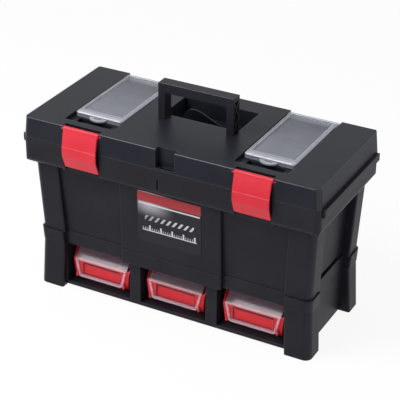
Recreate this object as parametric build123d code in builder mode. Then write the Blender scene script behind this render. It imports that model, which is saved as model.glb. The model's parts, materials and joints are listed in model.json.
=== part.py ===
from build123d import *

import os

# A moulded toolbox in millimetres: X runs along it, the front faces -Y and +Z is up.
# The origin is on the floor under the middle of the box.

os.makedirs("parts", exist_ok=True)

# Heights of the main joints, from the floor
floor_under_z = 3.0  # underside of the rack's floor, between the feet
floor_z = 9.0  # top of the rack's floor
joint_z = 106.0  # where the tub stands on the rack
rim_z = 229.0  # underside of the tub's rim band
parting_z = 276.0  # where the lid meets the tub
lid_height = 35.0

# Walls and clearances
wall = 3.0
thin_wall = 2.5
rim_wall = 3.5
part_gap = 0.3  # between faces that part when a piece moves
pin_clearance = 0.05  # radial, round every pivot
side_gap = 0.6  # beside a piece that turns or slides between walls
overrun = 1.0  # how far a cut or a rib runs on past the face it meets

# Lid and rim outlines
lid_length = 515.0  # at the parting line
lid_depth = 228.0
lid_end_draft = 3.5  # how far each end leans in over the lid's height
lid_front_draft = 0.7
lid_corner_r = 9.0
lid_edge_r = 2.5
rim_round = 13.0  # curve under the rim band
flange_reach = 5.0  # carrying flange at each end of the rim
flange_height = 15.0
flange_chamfer = 3.0

# Tub, set in from the rim over its corner columns and leaning in towards its foot
end_overhang = 10.5
front_overhang = 12.5
tub_draft = 5.5
front_step_low = 9.0  # the front panels lie this far behind the columns
front_step_high = 5.5
end_step = 15.0  # the end panels lie this far inside the columns
column_width = 44.0
column_depth = 39.0
column_r = 12.0  # outer corner
column_edge_r = 3.0  # beside the panels
field_half = 90.0  # raised centre field of the front
field_r = 3.0
end_slot_half = 41.0
end_slot_height = 4.0
end_slot_depth = 2.0

# Rack
rack_lip = 2.5  # the rack's rim stands out past the tub
rack_waist = 1.8  # and its columns draw in below the collar
rack_collar = 0.8  # step under the collar
rack_collar_height = 21.0
foot_flare = 4.8
post_width = 19.5  # between two bays
bay_end = 2.0  # how far the outer bays run in beside the columns
beam_height = 24.0  # over the bays

# Lid hinges at the back
hinge_stand = 3.5  # pin axis behind the rim
knuckle_r = 5.0
knuckle_length = 30.0  # middle knuckle, on the lid
knuckle_ear = 13.0  # outer knuckles, on the tub
hinge_pin_r = 2.0
hinge_relief = 0.6

# Latches, in line with the organisers; depths are measured from the front of the rim
side_margin = 108.5  # from the end of the lid
latch_width = 61.0
latch_ear_width = 64.0
latch_ear_r = 4.0
latch_axis_depth = 2.5
latch_axis_drop = 4.5  # below the top of the lid
latch_thickness = 2.6
latch_bulge = 8.5  # the middle facet stands this far out, foremost of the box
latch_crown = 1.0  # rise of the upper facet's curve
latch_crease_rise = 3.0  # crease above the parting line
latch_crease_step = 0.7
latch_kink_drop = 13.0  # lower edge of the middle facet, below the parting line
latch_tip_drop = 35.5
latch_hook = 3.1  # depth of the hook, from the front of the rim
latch_hook_reach = 1.5
latch_hook_height = 2.5
latch_stub_r = 2.0
latch_stub = 3.5
latch_pocket_depth = 11.5
rim_pocket_depth = 4.5
catch_reach = 1.1
catch_rise = 3.7  # ridge above the tip of the latch
catch_height = 4.0
catch_half = 20.0

# Padlock notch
notch_half = 16.5
notch_depth = 11.0
notch_plate = 3.0
lock_slot_length = 18.0
lock_slot_width = 5.0
lock_slot_depth = 4.2
lock_ledge_depth = 8.8  # slotted ledge inside the rim
rim_slit_x = -13.0
rim_slit_width = 3.0
rim_slit_height = 17.0
rim_slit_depth = 2.0

# Handle and its recess
handle_half = 66.0
handle_leg = 12.0
handle_thickness = 20.4
handle_bar_height = 16.0
handle_axis_y = -6.2
handle_reach = 72.0  # from its axis to the top of the bar
handle_edge_r = 1.2
handle_stub_r = 4.0
handle_stub = 5.0
handle_rib = 2.0
handle_rib_turn = 60
handle_hollow_depth = 8.0
handle_hollow_margin = 2.5
recess_front_y = 2.0
recess_room = 10.0  # for fingers, behind the folded bar
recess_depth = 30.0
wave_y = 45.0  # wavy rib across the recess
wave_end_x = 52.0
wave_end_rise = 15.0
wave_crest_x = -43.0
wave_crest_rise = 25.0
wave_trough_x = 6.0
wave_trough_rise = 12.5
wave_thickness = 2.0

# Organisers in the lid
organiser_width = 85.0
organiser_axis_depth = 10.0  # in from the back of the lid
organiser_axis_drop = 3.2
organiser_top_rise = 1.6  # above the top of the lid
organiser_wall = 2.0
organiser_frame = 7.0
organiser_sunk = 1.5
organiser_corner_r = 5.0
organiser_edge = 1.75
organiser_stub_r = 1.8
organiser_stub = 3.0
tab_width = 30.0
tab_reach = 11.0
tab_drop = 3.5
tab_thickness = 2.5
tab_slot_length = 13.0
tab_slot_width = 2.2
pan_gap = 2.0
pan_depth = 6.8
pan_margin = 24.0  # in from the front of the lid
pan_apron = 29.0  # pan floor left open before the cover
well_width = 74.0
well_depth = 30.0
well_lead = 7.0  # in from the front of the cover
well_tail = 10.0  # in from the axis of the cover
finger_slot_half = 31.0
finger_slot_lead = 5.0
finger_slot_tail = 3.0
finger_slot_depth = 14.0
divider_y = 45.0
divider_thickness = 2.0
divider_height = 20.0
guide_rib = 1.5

# Tray
tray_end_gap = 4.0
tray_front_gap = 2.0
tray_draft = 2.5
tray_height = 36.0
tray_r = 8.0
tray_cell_r = 6.0
tray_wall = 2.2
tray_rib_y = 20.0  # middle of the long rib, which carries the grip
tray_cross_x = 80.0
grip_length = 110.0
grip_thickness = 6.0
grip_rise = 2.0
grip_seat_rise = 8.0  # the rib is cut down to this above the tray's foot
grip_hole_length = 84.0
grip_bar_height = 10.0
grip_r = 6.0

# Bins
bin_side_gap = 4.0
bin_side_flare = 7.5
bin_length = 145.0
bin_set_back = 9.25  # behind the rack's front panel
bin_head_gap = 11.0  # under the beam
bin_nose_drop = 22.0
bin_knee_rise = 13.0
bin_knee_in = 1.0
bin_toe_in = 13.0
bin_scoop = 19.0
bin_back_lean = 4.0
bin_wall = 2.2
bin_panel_margin = 12.0
bin_panel_depth = 0.8
bin_floor_gap = 0.2

# Clear bin visors, set out from the bin's front
visor_inset = 7.5  # narrower than the bin's mouth, on each side
visor_flare = 7.5
visor_wall = 2.0
visor_foot_drop = 1.5
visor_fold_rise = 2.5
visor_stand = 4.0
visor_top_stand = 4.5
visor_top_drop = 3.5
visor_corner_r = 5.0
visor_frame = 5.0
visor_frame_rise = 1.0
visor_axis_stand = 3.5
visor_axis_rise = 1.0
visor_stub_r = 1.5
visor_stub = 4.0
visor_lug = 3.2
visor_lug_gap = 2.0
visor_lug_half = 3.0

# Label on the raised field
label_width = 112.0
label_height = 92.0
label_drop = 3.0  # below the rim band
label_r = 3.0
label_thickness = 0.5

# Places that follow from the sizes above
lid_low_z = parting_z + part_gap
lid_top_z = parting_z + lid_height
roof_z = lid_top_z - wall
rim_x = lid_length / 2
rim_y = lid_depth / 2
ledge_z = rim_z + wall
tub_high_x = rim_x - end_overhang
tub_high_y = rim_y - front_overhang
tub_low_x = tub_high_x - tub_draft
tub_low_y = tub_high_y - tub_draft
rack_x = tub_low_x + rack_lip
rack_y = tub_low_y + rack_lip
rack_panel_x = tub_low_x - end_step + rack_lip
rack_panel_y = tub_low_y - front_step_low + rack_lip / 2
rack_field_y = tub_low_y + rack_lip / 4
bay_width = (2 * (tub_low_x - column_width + bay_end) - 2 * post_width) / 3
bay_pitch = bay_width + post_width
bay_top_z = joint_z - beam_height
bay_xs = {"left": -bay_pitch, "centre": 0.0, "right": bay_pitch}
side_x = rim_x - side_margin
sides = {"left": -side_x, "right": side_x}
corners = [(-1, -1), (1, -1), (1, 1), (-1, 1)]
hinge_y = rim_y + hinge_stand
latch_axis_y = latch_axis_depth - rim_y
latch_axis_z = lid_top_z - latch_axis_drop
latch_bulge_y = -rim_y - latch_bulge
latch_tip_z = parting_z - latch_tip_drop
latch_pocket_y = latch_pocket_depth - rim_y
rim_pocket_y = rim_pocket_depth - rim_y
handle_axis_z = lid_top_z - handle_thickness / 2
recess_floor_z = lid_top_z - recess_depth
recess_back_y = handle_axis_y + handle_reach + recess_room
organiser_axis_y = rim_y - organiser_axis_depth
organiser_axis_z = lid_top_z - organiser_axis_drop
organiser_top_z = lid_top_z + organiser_top_rise
pan_floor_z = lid_top_z - pan_depth
pan_front_y = pan_margin - rim_y
pan_half = organiser_width / 2 + pan_gap
organiser_low_z = pan_floor_z + part_gap
organiser_front_y = pan_front_y + pan_apron
well_floor_z = lid_top_z - well_depth
bin_top_width = bay_width - 2 * bin_side_gap
bin_foot_width = bin_top_width - 2 * bin_side_flare
bin_nose_y = bin_set_back - rack_panel_y
bin_back_y = bin_nose_y + bin_length
bin_top_z = bay_top_z - bin_head_gap
bin_nose_z = bin_top_z - bin_nose_drop
bin_knee_z = floor_z + bin_knee_rise
bin_knee_y = bin_nose_y + bin_knee_in
visor_width = bin_top_width - 2 * visor_inset
visor_foot_width = visor_width - 2 * visor_flare
visor_front_y = bin_nose_y - visor_stand
visor_foot_z = bin_knee_z - visor_foot_drop
visor_fold_z = bin_nose_z + visor_fold_rise
visor_axis_y = bin_knee_y - visor_axis_stand
visor_axis_z = bin_knee_z + visor_axis_rise


def upright(z_low, z_high, xs, ys, radius=0, mode=Mode.ADD):
    """Upright block or pocket between two heights, with square or rounded corners."""
    with BuildSketch(Plane.XY.offset(z_low)) as plan:
        with Locations(((xs[0] + xs[1]) / 2, (ys[0] + ys[1]) / 2)):
            if radius:
                RectangleRounded(xs[1] - xs[0], ys[1] - ys[0], radius)
            else:
                Rectangle(xs[1] - xs[0], ys[1] - ys[0])
    extrude(plan.sketch, amount=z_high - z_low, mode=mode)


def prism(plane, points, length, mode=Mode.ADD):
    """Straight prism with a polygon for its section."""
    with BuildSketch(plane) as section:
        with BuildLine():
            Polyline(*points, close=True)
        make_face()
    extrude(section.sketch, amount=length, mode=mode)


def wedge(low, high):
    """Flat-sided block between two levels, each given as its height, x limits and y limits."""
    low_z, low_xs, low_ys = low
    high_z, high_xs, high_ys = high
    x_min = min(low_xs[0], high_xs[0])
    x_max = max(low_xs[1], high_xs[1])
    y_min = min(low_ys[0], high_ys[0])
    y_max = max(low_ys[1], high_ys[1])
    front = [(low_xs[0], low_z), (low_xs[1], low_z), (high_xs[1], high_z), (high_xs[0], high_z)]
    side = [(low_ys[0], low_z), (low_ys[1], low_z), (high_ys[1], high_z), (high_ys[0], high_z)]
    with BuildPart() as block:
        prism(Plane.XZ.offset(-y_max), front, y_max - y_min)
        prism(Plane.YZ.offset(x_min), side, x_max - x_min, Mode.INTERSECT)
    return block.part


def level(z, half_x, half_y):
    """Level of a block that stands on the middle of the box."""
    return z, (-half_x, half_x), (-half_y, half_y)


def upright_edges(block):
    """Straight edges of a wedge between its two levels."""
    straight = block.edges().filter_by(GeomType.LINE)
    return straight.filter_by(Axis.X, reverse=True).filter_by(Axis.Y, reverse=True)


def drafted(low, high, radius, hidden=False):
    """Wedge with its upright edges rounded, or bevelled by half as much where they are hidden."""
    with BuildPart() as block:
        add(wedge(low, high))
        if hidden:
            chamfer(upright_edges(block), radius / 2)
        else:
            fillet(upright_edges(block), radius)
    return block.part


def column(low, high):
    """Corner column, well rounded at the corner of the box and less beside the panels."""
    middle = (0, 0, low[0])
    with BuildPart() as block:
        add(wedge(low, high))
        fillet(upright_edges(block).sort_by_distance(middle)[:-1], column_edge_r)
        fillet(upright_edges(block).sort_by_distance(middle)[-1], column_r)
    return block.part


def columns(sections, inset=0.0, mode=Mode.ADD):
    """Four corner columns, or their hollows, through sections: (height, half length, half depth)."""
    for side_sign, depth_sign in corners:
        levels = []
        for z, half_x, half_y in sections:
            xs = sorted((side_sign * (half_x - inset), side_sign * (half_x - column_width + inset)))
            ys = sorted((depth_sign * (half_y - inset), depth_sign * (half_y - column_depth + inset)))
            levels.append((z, xs, ys))
        for low, high in zip(levels, levels[1:]):
            add(drafted(low, high, column_r - inset, True) if inset else column(low, high), mode=mode)


def soften(low, high, radius, corner):
    """Round the long edges at the foot (0) or top (-1) of the block in hand, given its two levels."""
    low_z, low_xs, low_ys = low
    high_z, high_xs, high_ys = high
    runs = ((Plane.XZ, low_xs, high_xs, low_ys[1]), (Plane.YZ, low_ys, high_ys, low_xs[1]))
    for plane, wide, narrow, depth in runs:
        with BuildSketch(plane.offset(-depth)) as section:
            with BuildLine():
                Polyline(
                    (wide[0], low_z),
                    (wide[1], low_z),
                    (narrow[1], high_z),
                    (narrow[0], high_z),
                    close=True,
                )
            make_face()
            fillet(section.vertices().group_by(Axis.Y)[corner], radius)
        extrude(section.sketch, amount=2 * depth, mode=Mode.INTERSECT)


def bar(x_low, x_high, y, z, radius, mode=Mode.ADD):
    """Round bar or bore along X."""
    with BuildSketch(Plane.YZ.offset(x_low)) as section:
        with Locations((y, z)):
            Circle(radius)
    extrude(section.sketch, amount=x_high - x_low, mode=mode)


def lean(z, low, high):
    """Half size of the tub at a height, from its size at the joint and under the rim."""
    return low + (high - low) * (z - joint_z) / (rim_z - joint_z)


def tub_form(z_low, z_high, inset, mode):
    """Panels, raised field and columns of the tub, drawn in by an inset."""
    panel = []
    field = []
    posts = []
    for z in (z_low, z_high):
        half_x = lean(z, tub_low_x, tub_high_x)
        half_y = lean(z, tub_low_y, tub_high_y)
        panel_y = lean(z, tub_low_y - front_step_low, tub_high_y - front_step_high)
        panel.append(level(z, half_x - end_step - inset, panel_y - inset))
        field.append(level(z, field_half - inset, half_y - inset))
        posts.append((z, half_x, half_y))
    add(wedge(*panel), mode=mode)
    add(drafted(*field, field_r, inset > 0), mode=mode)
    columns(posts, inset, mode)


def save(piece, name):
    """Label a finished piece and write it."""
    piece.label = name
    export_step(piece, f"parts/{name}.step")


# Rack: floor, panels, raised field and flared columns under a collar, with three bays for the bins
with BuildPart() as base_rack:
    waist_x = rack_x - rack_waist
    waist_y = rack_y - rack_waist
    collar_z = joint_z - rack_collar_height
    foot_x = waist_x + foot_flare
    foot_y = waist_y + foot_flare / 2
    collar = (collar_z, waist_x + rack_collar, waist_y + rack_collar)
    collar_x = rack_panel_x + rack_collar
    upright(floor_under_z, joint_z, (-rack_panel_x, rack_panel_x), (-rack_panel_y, rack_panel_y))
    upright(collar_z, joint_z, (-collar_x, collar_x), (-rack_panel_y, rack_panel_y))
    upright(bay_top_z, joint_z, (-field_half, field_half), (-rack_field_y, rack_field_y), field_r)
    columns([(0.0, foot_x, foot_y), (collar_z, waist_x, waist_y)])
    columns([collar, (joint_z, rack_x, rack_y)])
    bay_front_y = -(foot_y + foot_flare)
    beam_back_y = wall - rack_panel_y
    rack_back_y = rack_panel_y - wall
    for bay_x in bay_xs.values():
        bay = (bay_x - bay_width / 2, bay_x + bay_width / 2)
        upright(floor_z, bay_top_z, bay, (bay_front_y, rack_back_y), mode=Mode.SUBTRACT)
        upright(floor_z, joint_z, bay, (beam_back_y, rack_back_y), mode=Mode.SUBTRACT)
    post_hollow = post_width / 2 - wall
    hollow_end = (bay_pitch + bay_width / 2 + wall, rack_panel_x - wall)
    hollow_post = (bay_pitch / 2 - post_hollow, bay_pitch / 2 + post_hollow)
    for low, high in (hollow_end, hollow_post):
        for xs in ((low, high), (-high, -low)):
            upright(floor_z, joint_z, xs, (beam_back_y, rack_back_y), mode=Mode.SUBTRACT)
    for side_sign, depth_sign in corners:
        core = 2 * wall
        core_x = sorted((side_sign * (waist_x - core), side_sign * (waist_x - column_width + core)))
        core_y = sorted((depth_sign * (waist_y - core), depth_sign * (waist_y - column_depth + core)))
        upright(floor_z, joint_z, core_x, core_y, mode=Mode.SUBTRACT)
    under = ((wall - rack_panel_x, rack_panel_x - wall), (beam_back_y, rack_back_y))
    upright(floor_under_z, floor_z - wall, *under, mode=Mode.SUBTRACT)
save(base_rack.part, "base_rack")


# Tub: rim band with its curved underside, then the leaning body, then the hollow
with BuildPart() as tub:
    upright(rim_z, parting_z, (-rim_x, rim_x), (-rim_y, rim_y), lid_corner_r)
    soften(level(rim_z, rim_x, rim_y), level(parting_z, rim_x, rim_y), rim_round, 0)
    tub_form(joint_z, rim_z + rim_round / 2, 0.0, Mode.ADD)
    for sign in (-1, 1):
        flange_in = sign * (rim_x - wall)
        flange_out = sign * (rim_x + flange_reach)
        flange_z = parting_z - flange_height
        flange = [(flange_in, flange_z), (sign * rim_x, flange_z)]
        flange += [(flange_out, flange_z + flange_chamfer), (flange_out, parting_z), (flange_in, parting_z)]
        prism(Plane.XZ.offset(lid_corner_r - rim_y), flange, 2 * (rim_y - lid_corner_r))
    tub_form(joint_z + wall, ledge_z, wall, Mode.SUBTRACT)
    band_x = rim_x - rim_wall
    band_y = rim_y - rim_wall
    band_low = level(ledge_z, band_x, band_y)
    band_high = level(parting_z, band_x, band_y)
    add(drafted(band_low, band_high, lid_corner_r, True), mode=Mode.SUBTRACT)

    # Thicker rim behind each latch, the pocket the latch lies in and the ridge it snaps over
    for latch_x in sides.values():
        pad_half = latch_ear_width / 2 + wall
        pad = (latch_x - pad_half, latch_x + pad_half)
        upright(ledge_z, parting_z, pad, (-band_y - overrun, rim_pocket_y + wall))
        pocket_half = latch_width / 2 + side_gap
        pocket = (latch_x - pocket_half, latch_x + pocket_half)
        upright(rim_z, parting_z, pocket, (latch_bulge_y, rim_pocket_y), mode=Mode.SUBTRACT)
        ridge_z = latch_tip_z + catch_rise
        ridge_y = rim_pocket_y - catch_reach
        ridge = [(rim_pocket_y + overrun, ridge_z), (ridge_y, ridge_z)]
        ridge += [(ridge_y, ridge_z + catch_height / 2), (rim_pocket_y, ridge_z + catch_height)]
        ridge += [(rim_pocket_y + overrun, ridge_z + catch_height)]
        prism(Plane.YZ.offset(latch_x - catch_half), ridge, 2 * catch_half)

    # Padlock slot through a ledge inside the rim, and the slit below it
    notch_seat = (-notch_half - wall, notch_half + wall)
    lock_ledge = (-band_y - overrun, lock_ledge_depth - rim_y)
    upright(parting_z - wall, parting_z, notch_seat, lock_ledge)
    lock = (-lock_slot_length / 2, lock_slot_length / 2)
    lock_y = lock_slot_depth - rim_y
    lock_deep = (lock_y - lock_slot_width / 2, lock_y + lock_slot_width / 2)
    upright(parting_z - wall, parting_z, lock, lock_deep, mode=Mode.SUBTRACT)
    slit_z = parting_z - 3 * rim_slit_height / 2
    with BuildSketch(Plane.XZ.offset(rim_y - rim_slit_depth)):
        with Locations((rim_slit_x, slit_z)):
            Rectangle(rim_slit_width, rim_slit_height)
    extrude(amount=rim_slit_depth, mode=Mode.SUBTRACT)

    # Dark slot in each end panel, just above the joint
    for sign in (-1, 1):
        panel_x = tub_low_x - end_step
        slot = sorted((sign * (panel_x - end_slot_depth), sign * (panel_x + end_slot_depth)))
        slot_deep = (-end_slot_half, end_slot_half)
        upright(joint_z, joint_z + end_slot_height, slot, slot_deep, mode=Mode.SUBTRACT)

    # Outer knuckles of the two lid hinges, with room for the lid's knuckle between them
    relief_r = knuckle_r + hinge_relief
    hinge_bore_r = hinge_pin_r + pin_clearance
    for x in sides.values():
        inner = knuckle_length / 2 + part_gap
        outer = inner + knuckle_ear
        bar(x - inner - part_gap, x + inner + part_gap, hinge_y, parting_z, relief_r, Mode.SUBTRACT)
        bar(x - outer, x - inner, hinge_y, parting_z, knuckle_r)
        bar(x + inner, x + outer, hinge_y, parting_z, knuckle_r)
        bar(x - outer, x + outer, hinge_y, parting_z, hinge_bore_r, Mode.SUBTRACT)
save(tub.part, "tub")


# Lid: a drafted shell with solid seats for everything let into it
with BuildPart() as lid:
    lid_top_x = rim_x - lid_end_draft
    lid_top_y = rim_y - lid_front_draft
    lid_foot = level(lid_low_z, rim_x, rim_y)
    lid_head = level(lid_top_z, lid_top_x, lid_top_y)
    add(drafted(lid_foot, lid_head, lid_corner_r))
    soften(lid_foot, lid_head, lid_edge_r, -1)
    shell_low = level(lid_low_z, rim_x - wall, rim_y - wall)
    shell_high = level(roof_z, lid_top_x - wall, lid_top_y - wall)
    add(drafted(shell_low, shell_high, lid_corner_r - wall, True), mode=Mode.SUBTRACT)
    seat_top_z = roof_z + overrun

    # Handle recess with its leg slots, bearings and wavy rib
    recess_half = handle_half + side_gap
    slot_front_y = handle_axis_y - handle_thickness / 2 - side_gap
    seat_half = recess_half + handle_stub + wall
    seat = (slot_front_y - wall, recess_back_y + wall)
    upright(recess_floor_z - wall, seat_top_z, (-seat_half, seat_half), seat)
    recess = (recess_front_y, recess_back_y)
    upright(recess_floor_z, lid_top_z, (-recess_half, recess_half), recess, mode=Mode.SUBTRACT)
    slot_inner = handle_half - handle_leg - side_gap
    slot_floor_z = handle_axis_z - handle_thickness / 2 - side_gap
    leg_slot = (slot_front_y, recess_front_y + overrun)
    for xs in ((-recess_half, -slot_inner), (slot_inner, recess_half)):
        upright(slot_floor_z, lid_top_z, xs, leg_slot, mode=Mode.SUBTRACT)
    with BuildSketch(Plane.XZ.offset(-wave_y)):
        with BuildLine():
            crest = Spline(
                (-wave_end_x, recess_floor_z + wave_end_rise),
                (wave_crest_x, recess_floor_z + wave_crest_rise),
                (wave_trough_x, recess_floor_z + wave_trough_rise),
                (wave_end_x, recess_floor_z + wave_end_rise),
            )
            wave_foot_z = recess_floor_z - overrun
            Polyline(crest @ 1, (wave_end_x, wave_foot_z), (-wave_end_x, wave_foot_z), crest @ 0)
        make_face()
    extrude(amount=wave_thickness)
    stub_reach = recess_half + handle_stub + part_gap
    bearing_r = handle_stub_r + pin_clearance
    for low, high in ((-stub_reach, -recess_half), (recess_half, stub_reach)):
        bar(low, high, handle_axis_y, handle_axis_z, bearing_r, Mode.SUBTRACT)

    # Organisers: a shallow pan for the clear cover over a deep well, and a finger slot in front
    for x in sides.values():
        pan = (x - pan_half, x + pan_half)
        pan_seat = (pan[0] - organiser_stub - wall, pan[1] + organiser_stub + wall)
        pan_seat_deep = (pan_front_y - wall, rim_y - wall + overrun)
        upright(pan_floor_z - thin_wall, seat_top_z, pan_seat, pan_seat_deep)
        well = (x - well_width / 2, x + well_width / 2)
        well_deep = (organiser_front_y + well_lead, organiser_axis_y - well_tail)
        well_seat = (well[0] - thin_wall, well[1] + thin_wall)
        well_seat_deep = (well_deep[0] - thin_wall, well_deep[1] + thin_wall)
        upright(well_floor_z - thin_wall, pan_floor_z, well_seat, well_seat_deep)
        finger = (x - finger_slot_half, x + finger_slot_half)
        finger_deep = (pan_front_y + finger_slot_lead, organiser_front_y - finger_slot_tail)
        finger_z = lid_top_z - finger_slot_depth
        finger_seat = (finger[0] - thin_wall, finger[1] + thin_wall)
        finger_seat_deep = (finger_deep[0] - thin_wall, finger_deep[1] + thin_wall)
        upright(finger_z - thin_wall, pan_floor_z, finger_seat, finger_seat_deep)
        pan_deep = (pan_front_y, rim_y)
        upright(pan_floor_z, lid_top_z, pan, pan_deep, mode=Mode.SUBTRACT)
        upright(well_floor_z, pan_floor_z, well, well_deep, mode=Mode.SUBTRACT)
        upright(finger_z, pan_floor_z, finger, finger_deep, mode=Mode.SUBTRACT)
        guide_z = well_floor_z + divider_height
        for rib_y in (divider_y - divider_thickness, divider_y + divider_thickness):
            guide = (rib_y - guide_rib / 2, rib_y + guide_rib / 2)
            left_rib = (well[0] - overrun, well[0] + guide_rib)
            right_rib = (well[1] - guide_rib, well[1] + overrun)
            for rib in (left_rib, right_rib):
                upright(well_floor_z - overrun, guide_z, rib, guide)
        pivot_reach = pan_half + organiser_stub + part_gap
        pivot_r = organiser_stub_r + pin_clearance
        bar(x - pivot_reach, x + pivot_reach, organiser_axis_y, organiser_axis_z, pivot_r, Mode.SUBTRACT)

    # Latch pockets: wide for the ears at the top, narrower for the body below
    seat_front_y = wall / 2 - rim_y
    open_front = (latch_bulge_y, latch_pocket_y)
    for x in sides.values():
        ear_half = latch_ear_width / 2 + side_gap
        stub_half = ear_half + latch_stub + part_gap
        latch_seat = (x - stub_half - wall, x + stub_half + wall)
        upright(lid_low_z, seat_top_z, latch_seat, (seat_front_y, latch_pocket_y + wall))
        ear_z = latch_axis_z - latch_ear_r - side_gap
        upright(ear_z, lid_top_z, (x - ear_half, x + ear_half), open_front, mode=Mode.SUBTRACT)
        body_half = latch_width / 2 + side_gap
        latch_slot = (x - body_half, x + body_half)
        upright(lid_low_z, lid_top_z, latch_slot, open_front, mode=Mode.SUBTRACT)
        pivot_r = latch_stub_r + pin_clearance
        bar(x - stub_half, x + stub_half, latch_axis_y, latch_axis_z, pivot_r, Mode.SUBTRACT)

    # Padlock notch over a slotted plate
    notch_back_y = notch_depth - rim_y
    upright(lid_low_z, seat_top_z, notch_seat, (seat_front_y, notch_back_y + wall))
    plate_z = lid_low_z + notch_plate
    notch_deep = (latch_bulge_y, notch_back_y)
    upright(plate_z, lid_top_z, (-notch_half, notch_half), notch_deep, mode=Mode.SUBTRACT)
    upright(lid_low_z, plate_z, lock, lock_deep, mode=Mode.SUBTRACT)

    # Middle knuckles of the hinges, and relief round the tub's knuckles
    for x in sides.values():
        half = knuckle_length / 2
        outer = half + part_gap + knuckle_ear + part_gap
        bar(x - outer, x + outer, hinge_y, parting_z, relief_r, Mode.SUBTRACT)
        bar(x - half, x + half, hinge_y, parting_z, knuckle_r)
        web_z = parting_z + 2 * knuckle_r
        web = [(hinge_y, parting_z + knuckle_r), (hinge_y - knuckle_r, lid_low_z)]
        web += [(rim_y - wall, lid_low_z), (rim_y - wall, web_z), (rim_y - lid_front_draft / 2, web_z)]
        prism(Plane.YZ.offset(x - half), web, knuckle_length)
        bar(x - half, x + half, hinge_y, parting_z, hinge_bore_r, Mode.SUBTRACT)
save(lid.part, "lid")


# Steel pins of the lid hinges
with BuildPart() as hinge_pin:
    pin_half = knuckle_length / 2 + part_gap + knuckle_ear
    bar(-pin_half, pin_half, hinge_y, parting_z, hinge_pin_r)
for name, x in sides.items():
    save(Pos(x, 0, 0) * hinge_pin.part, f"hinge_pin_{name}")


# Handle: two legs rounded about the pivot, a bar across them and stub pivots
with BuildPart() as handle:
    handle_top_z = handle_axis_z + handle_reach
    handle_bar_z = handle_top_z - handle_bar_height
    deep = (handle_axis_y - handle_thickness / 2, handle_axis_y + handle_thickness / 2)
    for leg_x in (-handle_half, handle_half - handle_leg):
        with BuildSketch(Plane.YZ.offset(leg_x)):
            with Locations((handle_axis_y, handle_axis_z)):
                Circle(handle_thickness / 2)
            with Locations((handle_axis_y, handle_axis_z + handle_reach / 2)):
                Rectangle(handle_thickness, handle_reach)
        extrude(amount=handle_leg)
    upright(handle_bar_z, handle_top_z, (-handle_half, handle_half), deep)
    fillet(handle.faces().sort_by(Axis.Z)[-1].edges(), handle_edge_r)

    # Hollow outer side of each leg, stiffened by crossed ribs
    hollow_low_z = handle_axis_z + handle_stub_r + handle_hollow_margin
    hollow_high_z = handle_top_z - handle_bar_height / 2
    hollow_z = (hollow_low_z + hollow_high_z) / 2
    hollow_height = hollow_high_z - hollow_low_z
    hollow_width = handle_thickness - 2 * handle_hollow_margin
    for hollow_x in (-handle_half, handle_half - handle_hollow_depth):
        with BuildSketch(Plane.YZ.offset(hollow_x)):
            with Locations((handle_axis_y, hollow_z)):
                Rectangle(hollow_width, hollow_height)
            for lift in (-hollow_height / 4, hollow_height / 4):
                for turn in (-handle_rib_turn, handle_rib_turn):
                    with Locations((handle_axis_y, hollow_z + lift)):
                        Rectangle(hollow_height, handle_rib, rotation=turn, mode=Mode.SUBTRACT)
        extrude(amount=handle_hollow_depth, mode=Mode.SUBTRACT)
    stub_tip = handle_half + handle_stub
    stub_root = handle_half - overrun
    bar(stub_root, stub_tip, handle_axis_y, handle_axis_z, handle_stub_r)
    bar(-stub_tip, -stub_root, handle_axis_y, handle_axis_z, handle_stub_r)
save(handle.part, "handle")


# Clear organiser cover: a framed pane with a rounded rear edge on its pivots and a finger tab
with BuildPart() as organiser_lid:
    half = organiser_width / 2
    rear_r = organiser_axis_z - organiser_low_z
    long = (organiser_front_y, organiser_axis_y)
    upright(organiser_low_z, organiser_top_z, (-half, half), long, organiser_corner_r)
    chamfer(organiser_lid.faces().sort_by(Axis.Z)[-1].edges(), organiser_edge)
    rear = (organiser_axis_y - 2 * organiser_corner_r, organiser_axis_y)
    upright(organiser_low_z, organiser_axis_z + rear_r, (-half, half), rear)
    bar(-half, half, organiser_axis_y, organiser_axis_z, rear_r)
    with BuildSketch(Plane.XY.offset(organiser_top_z - tab_drop)):
        with Locations((0, organiser_front_y)):
            Ellipse(tab_width / 2, tab_reach)
        with Locations((0, organiser_front_y + organiser_wall + tab_reach / 2)):
            Rectangle(tab_width, tab_reach, mode=Mode.SUBTRACT)
        with Locations((0, organiser_front_y - tab_slot_width)):
            Rectangle(tab_slot_length, tab_slot_width, mode=Mode.SUBTRACT)
    extrude(amount=-tab_thickness)
    pane = (organiser_frame - half, half - organiser_frame)
    pane_long = (organiser_front_y + 2 * organiser_frame, organiser_axis_y - organiser_frame)
    pane_z = organiser_top_z - organiser_sunk
    upright(pane_z, organiser_top_z, pane, pane_long, mode=Mode.SUBTRACT)
    under = (organiser_wall - half, half - organiser_wall)
    under_long = (organiser_front_y + organiser_wall, organiser_axis_y - organiser_frame)
    under_z = pane_z - organiser_wall
    upright(organiser_low_z, under_z, under, under_long, mode=Mode.SUBTRACT)
    stub_tip = pan_half + organiser_stub
    stub_root = half - overrun
    bar(stub_root, stub_tip, organiser_axis_y, organiser_axis_z, organiser_stub_r)
    bar(-stub_tip, -stub_root, organiser_axis_y, organiser_axis_z, organiser_stub_r)
for name, x in sides.items():
    save(Pos(x, 0, 0) * organiser_lid.part, f"organiser_lid_{name}")


# Divider standing between the guide ribs of an organiser well
with BuildPart() as organiser_divider:
    half = well_width / 2 - part_gap
    thick = divider_thickness / 2 - part_gap
    divider = (divider_y - thick, divider_y + thick)
    upright(well_floor_z, well_floor_z + divider_height, (-half, half), divider)
for name, x in sides.items():
    save(Pos(x, 0, 0) * organiser_divider.part, f"organiser_divider_{name}")


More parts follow.
